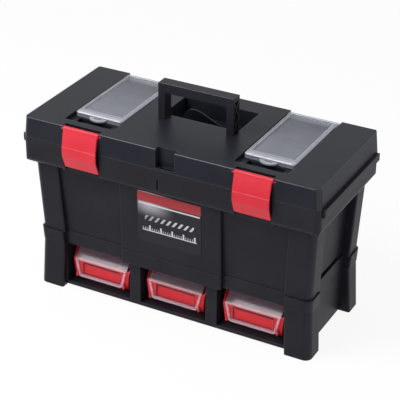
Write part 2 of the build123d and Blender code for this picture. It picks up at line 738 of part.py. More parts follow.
# Latch: ears on stub pivots at the top, a crowned upper facet, a proud middle one and a hooked tip
with BuildPart() as latch:
    bar(-latch_ear_width / 2, latch_ear_width / 2, latch_axis_y, latch_axis_z, latch_ear_r)
    crease_z = parting_z + latch_crease_rise
    kink_z = parting_z - latch_kink_drop
    brow = (latch_axis_y - latch_ear_r, latch_axis_z)
    crease = (latch_bulge_y + latch_crease_step, crease_z)
    crown = ((brow[0] + crease[0]) / 2 - latch_crown, (brow[1] + crease[1]) / 2)
    back_y = latch_bulge_y + latch_thickness
    hook_y = latch_hook - rim_y
    hook_z = latch_tip_z + latch_hook_height
    with BuildSketch(Plane.YZ.offset(-latch_width / 2)):
        with BuildLine():
            ThreePointArc(brow, crown, crease)
            Polyline(
                crease,
                (latch_bulge_y, crease_z - latch_crease_step),
                (latch_bulge_y, kink_z),
                (-rim_y, latch_tip_z),
                (hook_y, latch_tip_z),
                (hook_y, hook_z),
                (hook_y - latch_hook_reach, hook_z + latch_hook_reach / 2),
                (back_y, kink_z),
                (back_y, crease_z),
                (latch_axis_y, latch_axis_z - latch_ear_r),
                brow,
            )
        make_face()
    extrude(amount=latch_width)
    stub_tip = latch_ear_width / 2 + side_gap + latch_stub
    bar(-stub_tip, stub_tip, latch_axis_y, latch_axis_z, latch_stub_r)
for name, x in sides.items():
    save(Pos(x, 0, 0) * latch.part, f"latch_{name}")


# Tray: a drafted dish on the step of the rim, divided by ribs, the long one cut down for the grip
tray_low_z = ledge_z + part_gap
tray_high_z = tray_low_z + tray_height
grip_seat_z = tray_low_z + grip_seat_rise
with BuildPart() as tray:
    tray_x = rim_x - rim_wall - tray_end_gap
    tray_y = -rim_pocket_y - wall - tray_front_gap
    foot_x = tray_x - tray_draft
    foot_y = tray_y - tray_draft
    tray_foot = level(tray_low_z, foot_x, foot_y)
    tray_head = level(tray_high_z, tray_x, tray_y)
    add(drafted(tray_foot, tray_head, tray_r, True))
    inner_x = foot_x - tray_wall
    inner_y = foot_y - tray_wall
    dish_z = tray_low_z + tray_wall
    rib_low_y = tray_rib_y - tray_wall
    rib_high_y = tray_rib_y + tray_wall
    cells = [((-inner_x, inner_x), (-inner_y, rib_low_y))]
    cells.append(((-inner_x, -tray_cross_x - tray_wall), (rib_high_y, inner_y)))
    cells.append(((tray_wall - tray_cross_x, tray_cross_x - tray_wall), (rib_high_y, inner_y)))
    cells.append(((tray_cross_x + tray_wall, inner_x), (rib_high_y, inner_y)))
    for xs, ys in cells:
        add(drafted((dish_z, xs, ys), (tray_high_z, xs, ys), tray_cell_r, True), mode=Mode.SUBTRACT)
    grip_gap = (-grip_length / 2, grip_length / 2)
    rib_cut = (rib_low_y - overrun, rib_high_y + overrun)
    upright(grip_seat_z, tray_high_z, grip_gap, rib_cut, mode=Mode.SUBTRACT)
save(tray.part, "tray")


# Grip standing in the cut-down rib of the tray
with BuildPart() as tray_handle:
    grip_top_z = tray_high_z + grip_rise
    grip_height = grip_top_z - grip_seat_z
    with BuildSketch(Plane.XZ.offset(-tray_rib_y - grip_thickness / 2)):
        with Locations((0, grip_seat_z + grip_height / 2)):
            RectangleRounded(grip_length - 2 * part_gap, grip_height, grip_r)
        with Locations((0, grip_seat_z)):
            hole_height = 2 * (grip_height - grip_bar_height)
            RectangleRounded(grip_hole_length, hole_height, grip_r, mode=Mode.SUBTRACT)
    extrude(amount=grip_thickness)
save(tray_handle.part, "tray_handle")


def bin_solid(inset):
    """Solid of a bin's outside, or of its hollow, which runs out through scoop and top."""
    foot_z = floor_z + bin_floor_gap + inset
    nose_y = bin_nose_y + inset
    back_y = bin_back_y - inset
    head_z = bin_top_z + inset
    mouth = [(nose_y, head_z)]
    if not inset:
        mouth = [(nose_y, bin_nose_z), (nose_y + bin_scoop, head_z)]
    side = [(nose_y + bin_toe_in, foot_z), (bin_knee_y + inset, bin_knee_z + inset / 2)]
    side += mouth + [(back_y, head_z), (back_y - bin_back_lean, foot_z)]
    foot = bin_foot_width / 2 - inset
    head = bin_top_width / 2 - inset
    front = [(-foot, floor_z), (foot, floor_z), (head, head_z), (-head, head_z)]
    with BuildPart() as solid:
        prism(Plane.YZ.offset(-bin_top_width / 2), side, bin_top_width)
        prism(Plane.XZ.offset(-bin_back_y), front, bin_length, Mode.INTERSECT)
    return solid.part


# Bin: a scoop narrowing towards its foot, with a sunk front panel and lugs for the visor
with BuildPart() as bin_body:
    add(bin_solid(0.0))
    add(bin_solid(bin_wall), mode=Mode.SUBTRACT)
    panel_half = visor_foot_width / 2 - bin_panel_margin / 2
    panel_low_z = bin_knee_z + bin_wall
    panel_high_z = bin_nose_z - bin_wall
    with BuildSketch(Plane.XZ.offset(-bin_knee_y - bin_panel_depth)):
        with Locations((0, (panel_low_z + panel_high_z) / 2)):
            Rectangle(2 * panel_half, panel_high_z - panel_low_z)
    extrude(amount=2 * bin_panel_depth, mode=Mode.SUBTRACT)
    lug_low = visor_foot_width / 2 + visor_lug_gap
    lug_high = lug_low + visor_lug
    lug_front_y = visor_axis_y - visor_lug_half
    lug_reach = bin_knee_y + bin_wall - lug_front_y
    for lug_x in (lug_low, -lug_high):
        with BuildSketch(Plane.YZ.offset(lug_x)):
            with Locations((lug_front_y + lug_reach / 2, visor_axis_z)):
                Rectangle(lug_reach, 2 * visor_lug_half)
        extrude(amount=visor_lug)
    bar(-lug_high, lug_high, visor_axis_y, visor_axis_z, visor_stub_r + pin_clearance, Mode.SUBTRACT)
for name, x in bay_xs.items():
    save(Pos(x, 0, 0) * bin_body.part, f"bin_{name}")


# Clear visor: a folded pane with a framed front and stub pivots at its foot
with BuildPart() as bin_visor:
    fold_y = visor_front_y + visor_wall / 2
    visor_top_y = bin_nose_y + bin_scoop - visor_top_stand
    visor_top_z = bin_top_z - visor_top_drop
    pane = [(visor_front_y, visor_foot_z), (fold_y, visor_fold_z), (visor_top_y, visor_top_z)]
    pane += [(visor_top_y + visor_wall / 2, visor_top_z - visor_wall)]
    pane += [(fold_y + visor_wall, visor_fold_z - visor_wall / 2), (visor_front_y + visor_wall, visor_foot_z)]
    prism(Plane.YZ.offset(-visor_width / 2), pane, visor_width)
    frame_height = visor_fold_z - visor_foot_z
    with BuildSketch(Plane.XZ.offset(-visor_front_y - visor_wall / 2)):
        with Locations((0, visor_foot_z + frame_height / 2)):
            Rectangle(visor_foot_width, frame_height)
            inner_width = visor_foot_width - 2 * visor_frame
            inner_height = frame_height - 2 * visor_frame
            Rectangle(inner_width, inner_height, mode=Mode.SUBTRACT)
    extrude(amount=visor_wall / 2 + visor_frame_rise)
    with BuildSketch(Plane.XZ.offset(-visor_top_y)) as trim:
        foot = visor_foot_width / 2
        head = visor_width / 2
        with BuildLine():
            Polyline(
                (-foot, visor_foot_z),
                (foot, visor_foot_z),
                (head, visor_fold_z),
                (head, visor_top_z),
                (-head, visor_top_z),
                (-head, visor_fold_z),
                close=True,
            )
        make_face()
        fillet(trim.vertices().group_by(Axis.Y)[0], visor_corner_r)
    extrude(amount=2 * visor_stand + bin_scoop, both=True, mode=Mode.INTERSECT)
    stub_tip = lug_low + visor_stub - part_gap
    stub_root = visor_foot_width / 2 - 2 * visor_wall
    bar(-stub_tip, -stub_root, visor_axis_y, visor_axis_z, visor_stub_r)
    bar(stub_root, stub_tip, visor_axis_y, visor_axis_z, visor_stub_r)
for name, x in bay_xs.items():
    save(Pos(x, 0, 0) * bin_visor.part, f"bin_visor_{name}")


# Label lying on the leaning field
with BuildPart() as label:
    lean_out = tub_draft / (rim_z - joint_z)
    label_low_z = rim_z - label_drop - label_height
    label_y = -lean(label_low_z, tub_low_y, tub_high_y)
    label_plane = Plane((0, label_y, label_low_z), x_dir=(1, 0, 0), z_dir=(0, -1, -lean_out))
    with BuildSketch(label_plane):
        with Locations((0, label_height / 2)):
            RectangleRounded(label_width, label_height, label_r)
    extrude(amount=label_thickness)
save(label.part, "label")
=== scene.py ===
import functools
import json
import logging
import math
from dataclasses import dataclass
from enum import Enum
from typing import Any, Iterable, Mapping, Protocol, Sequence

import bpy
from mathutils import Matrix, Vector

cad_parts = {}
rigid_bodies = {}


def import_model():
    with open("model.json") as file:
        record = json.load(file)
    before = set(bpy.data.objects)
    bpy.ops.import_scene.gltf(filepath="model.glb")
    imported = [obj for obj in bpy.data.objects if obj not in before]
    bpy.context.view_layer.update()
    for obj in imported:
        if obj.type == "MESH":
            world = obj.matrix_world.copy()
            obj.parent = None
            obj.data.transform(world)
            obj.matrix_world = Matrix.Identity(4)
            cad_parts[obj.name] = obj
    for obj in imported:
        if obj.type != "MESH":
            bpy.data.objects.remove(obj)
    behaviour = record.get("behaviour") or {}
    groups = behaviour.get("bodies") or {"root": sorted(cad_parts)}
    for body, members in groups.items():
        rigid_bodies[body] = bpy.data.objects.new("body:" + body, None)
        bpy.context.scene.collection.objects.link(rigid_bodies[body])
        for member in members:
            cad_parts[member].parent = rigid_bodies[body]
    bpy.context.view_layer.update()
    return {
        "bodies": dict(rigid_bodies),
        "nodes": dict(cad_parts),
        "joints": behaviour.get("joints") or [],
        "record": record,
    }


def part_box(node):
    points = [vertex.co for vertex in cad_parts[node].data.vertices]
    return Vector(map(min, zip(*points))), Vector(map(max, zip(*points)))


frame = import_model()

MM = 0.001
LOG = logging.getLogger("toolbox")

EDGE_SAMPLES = 6
CREVICE_SAMPLES = 8
CREASE_SPAN = (0.005, 0.12)
TURN_SPAN = (0.88, 0.975)
BLACK = (0.0, 0.0, 0.0)
WHITE = (1.0, 1.0, 1.0)

Colour = tuple[float, float, float]
Span = tuple[float, float]


class Value:
    """A shader socket that takes part in Python expressions."""

    def __init__(self, graph: "Graph", socket: bpy.types.NodeSocket) -> None:
        """Keep the socket and the graph that new nodes go to.

        Args:
            graph: The material's graph.
            socket: The output socket that carries the value.
        """
        self.graph = graph
        self.socket = socket

    def _math(self, operation: str, left: Any, right: Any) -> "Value":
        """Add one Math node.

        Args:
            operation: Blender's name of the operation.
            left: First operand, a Value or a number.
            right: Second operand, a Value or a number.

        Returns:
            The node's result.
        """
        return self.graph.value("ShaderNodeMath", {"operation": operation}, {0: left, 1: right})

    def __add__(self, other: Any) -> "Value":
        """Sum."""
        return self._math("ADD", self, other)

    def __radd__(self, other: Any) -> "Value":
        """Sum, reflected."""
        return self._math("ADD", other, self)

    def __sub__(self, other: Any) -> "Value":
        """Difference."""
        return self._math("SUBTRACT", self, other)

    def __rsub__(self, other: Any) -> "Value":
        """Difference, reflected."""
        return self._math("SUBTRACT", other, self)

    def __mul__(self, other: Any) -> "Value":
        """Product."""
        return self._math("MULTIPLY", self, other)

    def __rmul__(self, other: Any) -> "Value":
        """Product, reflected."""
        return self._math("MULTIPLY", other, self)

    def __truediv__(self, other: Any) -> "Value":
        """Quotient."""
        return self._math("DIVIDE", self, other)

    def __gt__(self, other: Any) -> "Value":
        """One where this is greater than the other, else nought."""
        return self._math("GREATER_THAN", self, other)

    def __lt__(self, other: Any) -> "Value":
        """One where this is less than the other, else nought."""
        return self._math("LESS_THAN", self, other)

    def size(self) -> "Value":
        """Absolute value."""
        return self._math("ABSOLUTE", self, 0.0)

    def most(self, other: Any) -> "Value":
        """The greater of the two."""
        return self._math("MAXIMUM", self, other)

    def within(self, half: float) -> "Value":
        """Wrapped into the span from minus half to half."""
        sockets = {0: self, 1: half, 2: -half}
        return self.graph.value("ShaderNodeMath", {"operation": "WRAP"}, sockets)

    def wave(self) -> "Value":
        """Sine."""
        return self._math("SINE", self, 0.0)

    def ramp(self, low: float, high: float) -> "Value":
        """Smooth step from nought at low to one at high.

        Args:
            low: Where the step starts.
            high: Where the step ends.

        Returns:
            The eased mask.
        """
        settings = {"interpolation_type": "SMOOTHSTEP"}
        sockets = {"Value": self, "From Min": low, "From Max": high}
        return self.graph.value("ShaderNodeMapRange", settings, sockets)


class Graph:
    """Node graph of one material, or of the world."""

    def __init__(self, owner: bpy.types.Material | bpy.types.World) -> None:
        """Clear the owner's nodes.

        Args:
            owner: The material or world.
        """
        self.owner = owner
        owner.use_nodes = True
        self.tree = owner.node_tree
        self.tree.nodes.clear()

    @classmethod
    def named(cls, name: str) -> "Graph":
        """Graph of a new material of that name."""
        return cls(bpy.data.materials.new(name))

    def node(
        self,
        kind: str,
        settings: Mapping[str, Any] | None = None,
        sockets: Mapping[Any, Any] | None = None,
    ) -> bpy.types.Node:
        """Add a node.

        Args:
            kind: Blender's type name of the node.
            settings: Properties that are set first.
            sockets: Values or links of its inputs, by name or index.

        Returns:
            The new node.
        """
        node = self.tree.nodes.new(kind)
        for key, setting in (settings or {}).items():
            setattr(node, key, setting)
        for key, given in (sockets or {}).items():
            self.feed(node.inputs[key], given)
        return node

    def feed(self, socket: bpy.types.NodeSocket, given: Any) -> None:
        """Link or set one input.

        Args:
            socket: The input.
            given: A Value, a number or a colour.
        """
        if isinstance(given, Value):
            self.tree.links.new(given.socket, socket)
        elif isinstance(given, tuple) and len(given) == 3 and socket.type == "RGBA":
            socket.default_value = (*given, 1.0)
        else:
            socket.default_value = given

    def value(
        self,
        kind: str,
        settings: Mapping[str, Any] | None = None,
        sockets: Mapping[Any, Any] | None = None,
        output: Any = 0,
    ) -> Value:
        """Add a node and take one of its outputs.

        Args:
            kind: Blender's type name of the node.
            settings: Properties that are set first.
            sockets: Values or links of its inputs.
            output: Name or index of the output.

        Returns:
            The output as a Value.
        """
        return Value(self, self.node(kind, settings, sockets).outputs[output])

    def place(self) -> Value:
        """Position on the piece at rest, in metres."""
        return self.value("ShaderNodeTexCoord", output="Object")

    def axes(self, vector: Value) -> tuple[Value, Value, Value]:
        """Split a vector into its three components.

        Args:
            vector: The vector.

        Returns:
            Its X, Y and Z.
        """
        split = self.node("ShaderNodeSeparateXYZ", sockets={0: vector})
        return tuple(Value(self, output) for output in split.outputs)

    def noise(
        self, where: Value, size: float, detail: float = 3.0, roughness: float = 0.5
    ) -> Value:
        """Noise of a given feature size.

        Args:
            where: Position in metres.
            size: Size of a feature in metres.
            detail: Number of octaves.
            roughness: Strength of the finer octaves.

        Returns:
            The noise, about nought to one.
        """
        sockets = {"Vector": where, "Scale": 1.0 / size, "Detail": detail, "Roughness": roughness}
        return self.value("ShaderNodeTexNoise", sockets=sockets)

    def blend(self, mask: Any, first: Any, second: Any) -> Value:
        """Mix two colours.

        Args:
            mask: Share of the second colour.
            first: Colour where the mask is nought.
            second: Colour where the mask is one.

        Returns:
            The mixed colour.
        """
        settings = {"data_type": "RGBA"}
        return self.value("ShaderNodeMix", settings, {0: mask, 6: first, 7: second}, output=2)

    def rounded_normal(self, radius: float) -> Value:
        """Normal that softens every edge, as a moulded edge is soft.

        Args:
            radius: Radius of the soft edge in metres.

        Returns:
            The normal.
        """
        return self.value("ShaderNodeBevel", {"samples": EDGE_SAMPLES}, {"Radius": radius})

    def crease(self, soft: Value) -> Value:
        """How far the softened normal leaves the face: far only along sharp edges.

        Args:
            soft: The softened normal.

        Returns:
            The mask.
        """
        flat = self.value("ShaderNodeNewGeometry", output="Normal")
        settings = {"operation": "DOT_PRODUCT"}
        along = self.value("ShaderNodeVectorMath", settings, {0: soft, 1: flat}, output="Value")
        return (1.0 - along).ramp(*CREASE_SPAN)

    def turn(self, soft: Value) -> Value:
        """Where the surface turns between two main directions, as on rounded edges.

        Args:
            soft: The softened normal.

        Returns:
            The mask.
        """
        settings = {"vector_type": "NORMAL", "convert_from": "WORLD", "convert_to": "OBJECT"}
        x, y, z = self.axes(self.value("ShaderNodeVectorTransform", settings, {0: soft}))
        return 1.0 - x.size().most(y.size()).most(z.size()).ramp(*TURN_SPAN)

    def crevice(self, reach: float) -> Value:
        """How far the piece's own walls close in on the surface, as in corners and grooves.

        Args:
            reach: How far off a wall still counts, in metres.

        Returns:
            The mask.
        """
        settings = {"samples": CREVICE_SAMPLES, "only_local": True}
        sockets = {"Distance": reach}
        return 1.0 - self.value("ShaderNodeAmbientOcclusion", settings, sockets, output="AO")

    def rays(self, *kinds: str) -> Value:
        """Mask of some kinds of ray.

        Args:
            kinds: Blender's names of the kinds, such as Camera.

        Returns:
            One for rays of these kinds, else nought.
        """
        path = self.node("ShaderNodeLightPath")
        masks = [Value(self, path.outputs[f"Is {kind} Ray"]) for kind in kinds]
        return functools.reduce(Value.most, masks)

    def shader(self, kind: str, sockets: Mapping[Any, Any]) -> Value:
        """Add a shader node and take its closure."""
        return self.value(kind, sockets=sockets)

    def finish(self, shader: Value) -> bpy.types.Material | bpy.types.World:
        """Send a shader to the surface.

        Args:
            shader: The last shader.

        Returns:
            The finished material or world.
        """
        world = isinstance(self.owner, bpy.types.World)
        kind = "ShaderNodeOutputWorld" if world else "ShaderNodeOutputMaterial"
        self.node(kind, sockets={"Surface": shader})
        return self.owner


class Dressing(Protocol):
    """What a piece can be dressed in."""

    @property
    def name(self) -> str:
        """Name of the material."""

    def material(self) -> bpy.types.Material:
        """Make the material."""


@dataclass(frozen=True)
class MouldedPlastic:
    """Opaque moulded plastic with a spark-eroded grain, and painted shade in its own corners and
    grooves.
    """

    name: str
    colour: Colour
    worn: Colour
    roughness: float
    gloss: float = 0.5
    sheen: Colour = (0.86, 0.86, 1.0)
    cloud: float = 70.0 * MM
    cloud_span: Span = (0.35, 0.75)
    cloud_wear: float = 0.22
    cloud_dull: float = 0.14
    speck: float = 2.5 * MM
    speck_span: Span = (0.55, 0.8)
    speck_wear: float = 0.12
    speck_dull: float = 0.06
    grain: float = 0.9 * MM
    grain_bite: float = 0.6
    grain_depth: float = 0.06 * MM
    grain_strength: float = 0.5
    edge_radius: float = 1.6 * MM
    edge_wear: float = 0.45
    edge_shine: float = 0.16
    edge_coat: float = 0.0
    coat_roughness: float = 0.28
    # Painted shade in the piece's own corners and grooves: reach, span, darkening and dulling.
    crevice: float = 7.0 * MM
    crevice_span: Span = (0.15, 0.75)
    crevice_dark: float = 0.85
    crevice_dull: float = 0.3

    def tone(self, graph: Graph, where: Value, wear: Value) -> Value:
        """Colour over the surface.

        Args:
            graph: The material's graph.
            where: Position on the piece; not used here.
            wear: Share of the worn colour.

        Returns:
            The colour.
        """
        return graph.blend(wear, self.colour, self.worn)

    def material(self) -> bpy.types.Material:
        """Make the material.

        Returns:
            The finished material.
        """
        graph = Graph.named(self.name)
        where = graph.place()
        cloud = graph.noise(where, self.cloud, 4.0)
        speck = graph.noise(where, self.speck, 2.0)
        soft = graph.rounded_normal(self.edge_radius)
        edge = graph.crease(soft)
        wear = cloud.ramp(*self.cloud_span) * self.cloud_wear
        wear = wear + speck.ramp(*self.speck_span) * self.speck_wear + edge * self.edge_wear
        grain = graph.noise(where, self.grain, 2.0, self.grain_bite)
        sockets = {"Strength": self.grain_strength, "Distance": self.grain_depth}
        sockets |= {"Height": grain, "Normal": soft}
        normal = graph.value("ShaderNodeBump", sockets=sockets)
        rough = self.roughness + (cloud - 0.5) * self.cloud_dull + (speck - 0.5) * self.speck_dull
        rough = rough - edge * self.edge_shine
        # Painted shade: the piece's own corners and grooves are darkened towards black and made
        # duller.
        crevice_shade = graph.crevice(self.crevice).ramp(*self.crevice_span) * self.crevice_dark
        tone = graph.blend(crevice_shade, self.tone(graph, where, wear), BLACK)
        rough = rough + crevice_shade * self.crevice_dull
        sockets = {"Base Color": tone, "Roughness": rough, "Normal": normal}
        sockets |= {"Specular IOR Level": self.gloss, "Specular Tint": self.sheen}
        if self.edge_coat:
            coat = graph.turn(soft) * self.edge_coat
            sockets |= {"Coat Weight": coat, "Coat Roughness": self.coat_roughness}
        return graph.finish(graph.shader("ShaderNodeBsdfPrincipled", sockets))


@dataclass(frozen=True)
class BinPlastic(MouldedPlastic):
    """Moulded plastic of the bins, with a shadow line round the sunk front panel."""

    shadow: Colour = (0.20, 0.004, 0.006)
    pitch: float = 139.5 * MM
    panel_half: float = 35.0 * MM
    panel_low: float = 24.2 * MM
    panel_high: float = 46.8 * MM
    front_y: float = -70.0 * MM
    line_span: Span = (0.66 * MM, 1.65 * MM)
    line_dark: float = 0.8

    def tone(self, graph: Graph, where: Value, wear: Value) -> Value:
        """Colour over the bin, darker in the corner round its panel.

        Args:
            graph: The material's graph.
            where: Position on the piece.
            wear: Share of the worn colour.

        Returns:
            The colour.
        """
        x, y, z = graph.axes(where)
        middle = (self.panel_low + self.panel_high) / 2
        tall = (self.panel_high - self.panel_low) / 2
        beside = x.within(self.pitch / 2).size() - self.panel_half
        over = (z - middle).size() - tall
        outline = 1.0 - beside.most(over).size().ramp(*self.line_span)
        plain = graph.blend(wear, self.colour, self.worn)
        return graph.blend(outline * (y < self.front_y) * self.line_dark, plain, self.shadow)


@dataclass(frozen=True)
class ClearPlastic:
    """Clear moulded plastic, lightly hazed, with white painted as highlight along its edges and
    walls, and pale frames.
    """

    name: str
    tint: Colour
    white: Colour
    roughness: float
    body: float
    rim: float
    wall_span: Span = (0.97, 0.75)
    haze: float = 30.0 * MM
    haze_share: float = 0.1
    flow: float = 22.0 * MM
    flow_span: Span = (0.4, 0.8)
    flow_tone: float = 0.8
    flow_share: float = 0.3
    flow_dull: float = 0.12
    flow_depth: float = 0.05 * MM
    flow_strength: float = 0.1
    edge_radius: float = 0.8 * MM
    edge_dull: float = 0.05

    def zones(self, graph: Graph, where: Value) -> tuple[Value, Value]:
        """Where the piece looks pale, and how opaque its panes are.

        Args:
            graph: The material's graph.
            where: Position on the piece.

        Returns:
            Mask of the walls, where white is painted as highlight, and opacity of the rest.
        """
        _, _, up = graph.axes(graph.value("ShaderNodeTexCoord", output="Normal"))
        haze = graph.noise(where, self.haze)
        return up.size().ramp(*self.wall_span), self.body + (haze - 0.5) * self.haze_share

    def material(self) -> bpy.types.Material:
        """Make the material.

        Returns:
            The finished material.
        """
        graph = Graph.named(self.name)
        where = graph.place()
        flow = graph.noise(where, self.flow)
        soft = graph.rounded_normal(self.edge_radius)
        edge = graph.crease(soft)
        walls, pane = self.zones(graph, where)
        # Painted highlight: white along sharp edges and on walls, made more opaque there.
        pale = walls.most(edge)
        tone = graph.blend(pale, self.tint, self.white)
        dull = tuple(channel * self.flow_tone for channel in self.tint)
        tone = graph.blend(flow.ramp(*self.flow_span) * self.flow_share, tone, dull)
        sockets = {"Strength": self.flow_strength, "Distance": self.flow_depth}
        sockets |= {"Height": flow, "Normal": soft}
        normal = graph.value("ShaderNodeBump", sockets=sockets)
        rough = self.roughness + (flow - 0.5) * self.flow_dull + edge * self.edge_dull
        veil = pane * (1.0 - pale) + pale * self.rim
        sockets = {"Base Color": tone, "Roughness": rough, "Normal": normal, "Alpha": veil}
        return graph.finish(graph.shader("ShaderNodeBsdfPrincipled", sockets))


@dataclass(frozen=True)
class CoverPlastic(ClearPlastic):
    """Clear plastic of an organiser cover, with a pale raised frame round a hazed pane; painted
    highlight lines run along the frame's edges, a painted shadow line runs just inside it, and a
    painted reflection makes the pane paler towards the front.
    """

    centre: float = 149.0 * MM
    half_width: float = 35.5 * MM
    middle_y: float = 25.0 * MM
    half_length: float = 72.0 * MM
    frame: float = 7.0 * MM
    frame_soft: Span = (-0.2 * MM, 0.5 * MM)
    frame_highlight_span: Span = (1.05 * MM, 2.8 * MM)
    shadow_line: float = 1.1 * MM
    shadow_line_span: Span = (0.4 * MM, 1.2 * MM)
    shadow_line_clear: float = 0.7
    upper_span: Span = (0.2, 0.5)
    reflection_fall: float = 0.14
    slit_half: float = 6.5 * MM
    slit_y: float = -63.4 * MM
    slit_reach: float = 1.6 * MM
    slit_clear: float = 0.8

    def zones(self, graph: Graph, where: Value) -> tuple[Value, Value]:
        """Where the cover looks pale, and how opaque its pane is.

        Args:
            graph: The material's graph.
            where: Position on the piece.

        Returns:
            Mask of the frame and walls, and opacity of the pane.
        """
        walls, pane = super().zones(graph, where)
        x, y, _ = graph.axes(where)
        along = (y - self.middle_y) / self.half_length
        side = (x.size() - self.centre).size()
        out = (side - self.half_width).most((along.size() - 1.0) * self.half_length)
        # Painted highlight: the frame is paler along its two edges than in its middle.
        lines = (out - self.frame / 2).size().ramp(*self.frame_highlight_span)
        frame = out.ramp(*self.frame_soft) * (0.5 + lines * 0.5)
        # Painted shadow line: the pane is made clearer, so darker, just inside the frame.
        shadow_line = 1.0 - (out + self.shadow_line).size().ramp(*self.shadow_line_span)
        _, _, up = graph.axes(graph.value("ShaderNodeTexCoord", output="Normal"))
        upper = up.size().ramp(*self.upper_span)
        slit = (side < self.slit_half) * ((y - self.slit_y).size() < self.slit_reach)
        pale = walls.most(frame) * upper * (1.0 - slit)
        # Painted reflection: the pane grows clearer, so darker, towards the rear and more opaque,
        # so paler, towards the front.
        pane = (pane - along * self.reflection_fall) * (1.0 - shadow_line * self.shadow_line_clear)
        return pale, pane * (1.0 - slit * self.slit_clear)


@dataclass(frozen=True)
class VisorPlastic(ClearPlastic):
    """Clear plastic of a bin visor: a front pane with a pale frame and a painted highlight along
    the fold, under a more opaque top pane that is partly haze and partly a painted reflection.
    """

    pitch: float = 139.5 * MM
    foot_z: float = 20.5 * MM
    fold_z: float = 51.5 * MM
    foot_half: float = 41.0 * MM
    fold_half: float = 48.5 * MM
    frame: float = 3.8 * MM
    frame_soft: Span = (-0.4 * MM, 0.4 * MM)
    front_soft: Span = (-0.5 * MM, 0.5 * MM)
    fold_span: Span = (0.4 * MM, 1.0 * MM)
    fold_highlight: float = 0.8
    # Opacity of the top pane, partly haze and partly a painted reflection.
    top: float = 0.27

    def zones(self, graph: Graph, where: Value) -> tuple[Value, Value]:
        """Where the visor looks pale, and how opaque its two panes are.

        Args:
            graph: The material's graph.
            where: Position on the piece.

        Returns:
            Mask of the frame and of the painted highlight along the fold, and opacity of the
            panes.
        """
        x, _, z = graph.axes(where)
        slope = (self.fold_half - self.foot_half) / (self.fold_z - self.foot_z)
        side = x.within(self.pitch / 2).size() - (z - self.foot_z) * slope
        side = side - (self.foot_half - self.frame)
        foot = self.foot_z + self.frame - z
        frame = side.most(foot).ramp(*self.frame_soft)
        front = (self.fold_z - z).ramp(*self.front_soft)
        # Painted highlight: a pale line along the fold between the panes.
        fold = 1.0 - (z - self.fold_z).size().ramp(*self.fold_span)
        # The top pane is more opaque, partly haze and partly a painted reflection.
        pane = front * self.body + (1.0 - front) * self.top
        return (front * frame).most(fold * self.fold_highlight), pane


@dataclass(frozen=True)
class LabelFilm:
    """Printed film: red band, pinstripe, silver sheen, hatching and a scale on charcoal.

    Places on the film run from minus one to one across it, and from nought to one up it.
    """

    name: str
    low: Vector
    high: Vector
    red: Colour = (0.34, 0.035, 0.042)
    pale: Colour = (0.62, 0.62, 0.64)
    silver: Colour = (0.34, 0.34, 0.37)
    charcoal: Colour = (0.016, 0.015, 0.019)
    gloss: float = 0.16
    roughness: float = 0.32
    fibre: float = 0.6 * MM
    fibre_share: float = 0.12
    fibre_depth: float = 0.03 * MM
    fibre_strength: float = 0.15
    glow_at: float = -0.6
    glow_reach: float = 0.8
    glow_rise: Span = (0.48, 0.76)
    hatch_row: Span = (0.49, 0.05)
    hatch_reach: float = 0.78
    hatch_lean: float = 1.2
    hatch_rate: float = 34.0
    hatch_span: Span = (0.1, 0.4)
    hatch_fade: Span = (-0.8, 0.3)
    scale_reach: float = 0.86
    rule_row: Span = (0.24, 0.009)
    tick_row: Span = (0.27, 0.03)
    tick_rate: float = 88.0
    tick_cut: float = 0.3
    tick_share: float = 0.6
    inch_row: Span = (0.29, 0.055)
    inch_rate: float = 17.6
    inch_cut: float = 0.9
    pinstripe_row: Span = (0.765, 0.014)
    pinstripe_reach: float = 0.97
    band: Span = (0.8, 0.985)
    ink: float = 0.85

    def marks(self, across: Value, up: Value) -> Value:
        """Pale print on the film.

        Args:
            across: Place across the film.
            up: Place up the film.

        Returns:
            Share of pale ink.
        """

        def row(middle: float, half: float) -> Value:
            """Mask of a level strip."""
            return (up - middle).size() < half

        inside = across.size()
        scale = inside < self.scale_reach
        stripes = ((up * self.hatch_lean - across) * self.hatch_rate).wave()
        hatch = stripes.ramp(*self.hatch_span) * row(*self.hatch_row) * (inside < self.hatch_reach)
        rule = row(*self.rule_row) * scale
        ticks = ((across * self.tick_rate).wave() > self.tick_cut) * row(*self.tick_row) * scale
        inches = ((across * self.inch_rate).wave() > self.inch_cut) * row(*self.inch_row) * scale
        pinstripe = row(*self.pinstripe_row) * (inside < self.pinstripe_reach)
        hatch = hatch * (0.5 + across.ramp(*self.hatch_fade) * 0.4)
        return hatch.most(rule).most(ticks * self.tick_share).most(inches).most(pinstripe)

    def material(self) -> bpy.types.Material:
        """Make the material.

        Returns:
            The finished material.
        """
        graph = Graph.named(self.name)
        where = graph.place()
        x, _, z = graph.axes(where)
        across = x / ((self.high.x - self.low.x) / 2)
        up = (z - self.low.z) / (self.high.z - self.low.z)
        fibre = graph.noise(where, self.fibre, 2.0)
        glow = 1.0 - (across - self.glow_at).size().ramp(0.0, self.glow_reach)
        field = graph.blend(glow * up.ramp(*self.glow_rise), self.charcoal, self.silver)
        low, high = self.band
        tone = graph.blend(self.marks(across, up) * self.ink, field, self.pale)
        tone = graph.blend((up > low) * (up < high), tone, self.red)
        tone = graph.blend(fibre * self.fibre_share, tone, self.charcoal)
        sockets = {"Strength": self.fibre_strength, "Distance": self.fibre_depth, "Height": fibre}
        normal = graph.value("ShaderNodeBump", sockets=sockets)
        rough = self.roughness + fibre * self.fibre_share
        sockets = {"Base Color": tone, "Roughness": rough, "Normal": normal}
        sockets |= {"Specular IOR Level": self.gloss}
        return graph.finish(graph.shader("ShaderNodeBsdfPrincipled", sockets))


